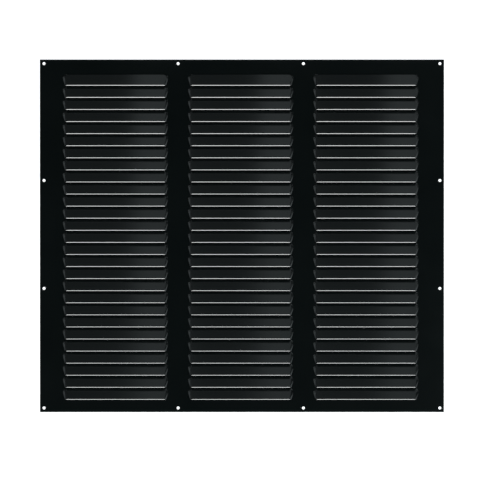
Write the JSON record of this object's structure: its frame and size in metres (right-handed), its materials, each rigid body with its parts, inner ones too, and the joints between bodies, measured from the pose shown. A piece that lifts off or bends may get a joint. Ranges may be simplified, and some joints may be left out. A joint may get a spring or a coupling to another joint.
{
  "type": "louvred sheet metal panel",
  "caption": "Flat rectangular steel vent panel with columns of pressed, closed-end louvres and screw holes round its edge, black powder coated.",
  "frame": {"origin": "centre of the rectangular sheet on its back face", "axes": "+X across the panel to the right seen from the front, +Y towards its top edge, +Z out of the front face, the way the louvres rise; the louvres open towards -Y"},
  "size_m": [0.55, 0.48, 0.0087],
  "materials": {
    "powder_coat": "satin black powder coat"
  },
  "bodies": {
    "root": {"louvred_panel": "powder_coat"}
  },
  "joints": []
}
